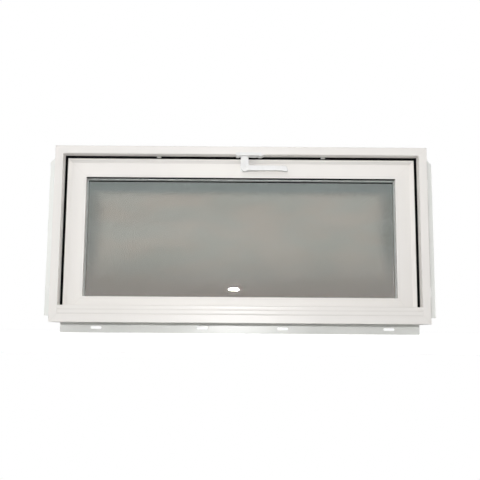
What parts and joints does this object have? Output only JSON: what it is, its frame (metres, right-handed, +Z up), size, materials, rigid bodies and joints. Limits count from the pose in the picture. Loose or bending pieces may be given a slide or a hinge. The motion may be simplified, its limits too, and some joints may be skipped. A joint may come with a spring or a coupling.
{
  "type": "hopper window",
  "caption": "White vinyl basement hopper window with nailing fins, insulated sash shut, cam latch on the top rail and outside insect screen.",
  "frame": {"origin": "on the room-facing side of the bottom nailing fin, at the middle of its length and width", "axes": "+Z up, +X to the right seen from the room, -Y towards the room and out of the fin's bearing face"},
  "size_m": [0.85, 0.0862, 0.403],
  "materials": {
    "vinyl": "satin white vinyl extrusion",
    "fin_vinyl": "matt white vinyl strip",
    "glass": "clear float glass, insulated unit",
    "spacer_metal": "mill aluminium spacer",
    "black_seal": "black flexible seal",
    "pin_steel": "plated steel",
    "latch_paint": "white powder coat",
    "screen_paint": "white painted aluminium",
    "screen_cloth": "charcoal glass-fibre insect mesh"
  },
  "bodies": {
    "window": {"frame_head": "vinyl", "frame_sill": "vinyl", "frame_left_jamb": "vinyl", "frame_right_jamb": "vinyl", "sill_dam": "vinyl", "sash_top_rail": "vinyl", "sash_bottom_rail": "vinyl", "sash_left_stile": "vinyl", "sash_right_stile": "vinyl", "glazing_bead_bottom": "vinyl", "glazing_bead_left": "vinyl", "glazing_bead_top": "vinyl", "glazing_bead_right": "vinyl", "head_bumper_left": "vinyl", "head_bumper_right": "vinyl", "weep_hood_left": "vinyl", "weep_hood_right": "vinyl", "nailing_fin_sill": "fin_vinyl", "nailing_fin_left": "fin_vinyl", "nailing_fin_right": "fin_vinyl", "inner_pane": "glass", "outer_pane": "glass", "glass_spacer": "spacer_metal", "gap_seal_bottom": "black_seal", "gap_seal_left": "black_seal", "gap_seal_top": "black_seal", "gap_seal_right": "black_seal", "stop_seal_bottom": "black_seal", "stop_seal_left": "black_seal", "stop_seal_top": "black_seal", "stop_seal_right": "black_seal", "screen_spline": "black_seal", "pivot_pin_left": "pin_steel", "pivot_pin_right": "pin_steel", "latch_base": "latch_paint", "latch_keeper": "latch_paint", "screen_bar_bottom": "screen_paint", "screen_bar_left": "screen_paint", "screen_bar_top": "screen_paint", "screen_bar_right": "screen_paint", "screen_mesh": "screen_cloth"},
    "latch": {"latch_handle": "latch_paint"}
  },
  "joints": [
    {"name": "latch_turn", "type": "hinge", "parent": "window", "child": "latch", "pos_m": [0.008, -0.0335, 0.3475], "axis": [0, 1, 0], "range_deg": [0, 90]}
  ]
}
